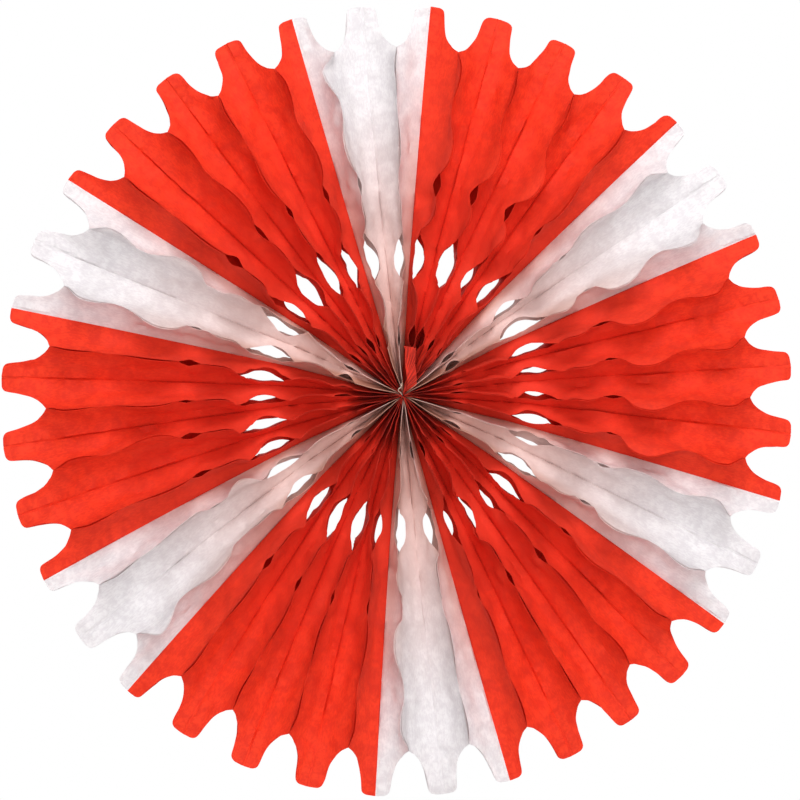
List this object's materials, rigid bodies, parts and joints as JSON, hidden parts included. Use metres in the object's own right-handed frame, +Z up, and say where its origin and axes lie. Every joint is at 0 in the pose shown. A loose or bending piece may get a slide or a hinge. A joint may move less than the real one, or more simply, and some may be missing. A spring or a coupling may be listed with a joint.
{
  "type": "paper fan rosette",
  "caption": "Hanging tissue paper fan opened into a full round rosette of glued red and white cells, with scalloped rim tabs, lobed ridges and a ring of almond holes.",
  "frame": {"origin": "hub of the rosette, on its mid plane", "axes": "+Z up as it hangs, +X to the right seen from the front, front faces -Y; the seam where the fan's two ends meet is 86 degrees from +X, at the top"},
  "size_m": [0.635, 0.072, 0.635],
  "materials": {
    "red_tissue": "matte",
    "white_tissue": "matte",
    "thread": "matte"
  },
  "bodies": {
    "root": {"red_cell_01": "red_tissue", "red_cell_02": "red_tissue", "red_cell_03": "red_tissue", "red_cell_04": "red_tissue", "red_cell_05": "red_tissue", "red_cell_06": "red_tissue", "red_cell_07": "red_tissue", "red_cell_08": "red_tissue", "red_cell_09": "red_tissue", "red_cell_10": "red_tissue", "red_cell_11": "red_tissue", "red_cell_12": "red_tissue", "red_cell_13": "red_tissue", "red_cell_14": "red_tissue", "red_cell_15": "red_tissue", "red_cell_16": "red_tissue", "red_cell_17": "red_tissue", "red_cell_18": "red_tissue", "red_cell_19": "red_tissue", "red_cell_20": "red_tissue", "red_cell_21": "red_tissue", "red_cell_22": "red_tissue", "red_cell_23": "red_tissue", "red_cell_24": "red_tissue", "white_cell_01": "white_tissue", "white_cell_02": "white_tissue", "white_cell_03": "white_tissue", "white_cell_04": "white_tissue", "white_cell_05": "white_tissue", "white_cell_06": "white_tissue", "white_cell_07": "white_tissue", "white_cell_08": "white_tissue", "white_cell_09": "white_tissue", "white_cell_10": "white_tissue", "white_cell_11": "white_tissue", "white_cell_12": "white_tissue", "centre_thread": "thread"}
  },
  "joints": []
}
